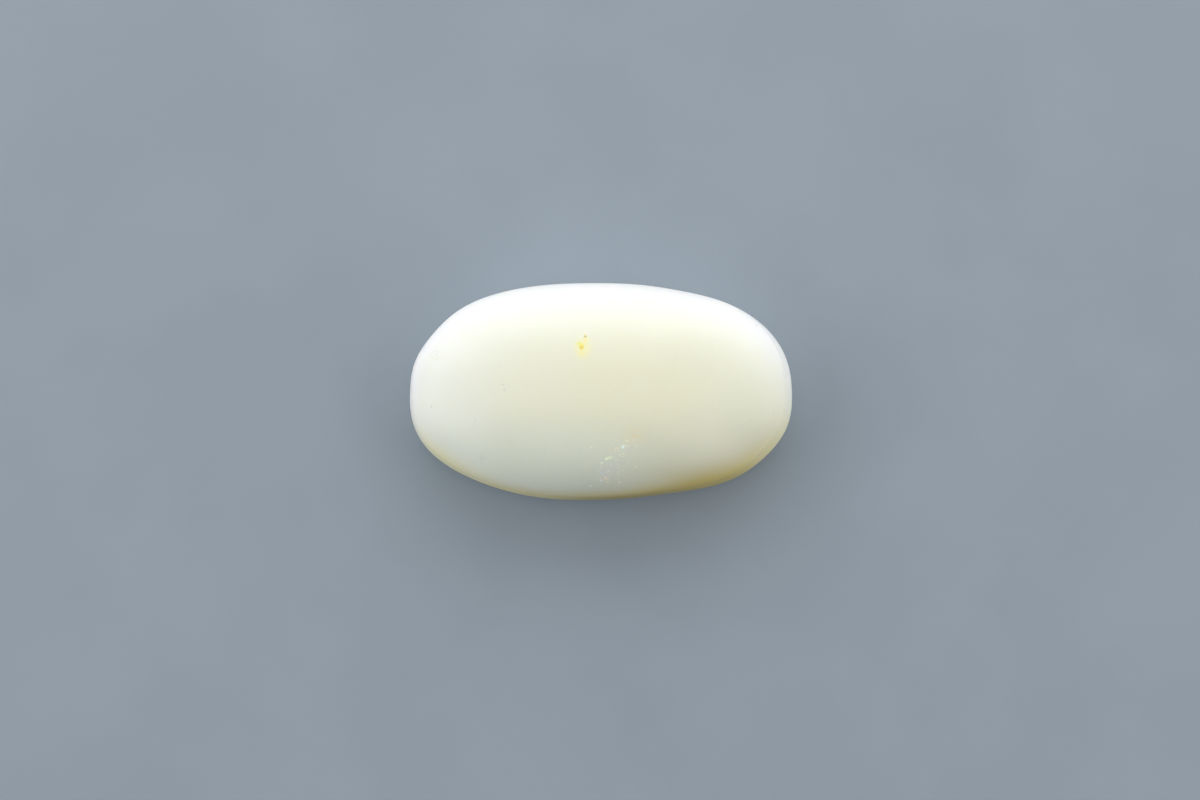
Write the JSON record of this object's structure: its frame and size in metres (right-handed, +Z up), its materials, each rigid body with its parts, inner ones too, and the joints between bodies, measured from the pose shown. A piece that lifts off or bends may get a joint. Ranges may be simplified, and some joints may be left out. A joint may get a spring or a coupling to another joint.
{
  "type": "polished opal cabochon",
  "caption": "Polished free-form oval white opal with a low dome, softly rounded girdle and flat back, lying loose dome up.",
  "frame": {"origin": "on the resting plane, under the middle of the stone's bounding box", "axes": "+X along the stone's long axis, +Y towards its far side, +Z up from the flat back through the dome"},
  "size_m": [0.018, 0.0102, 0.0052],
  "materials": {
    "milk_opal": "polished"
  },
  "bodies": {
    "root": {"opal_cabochon": "milk_opal"}
  },
  "joints": []
}
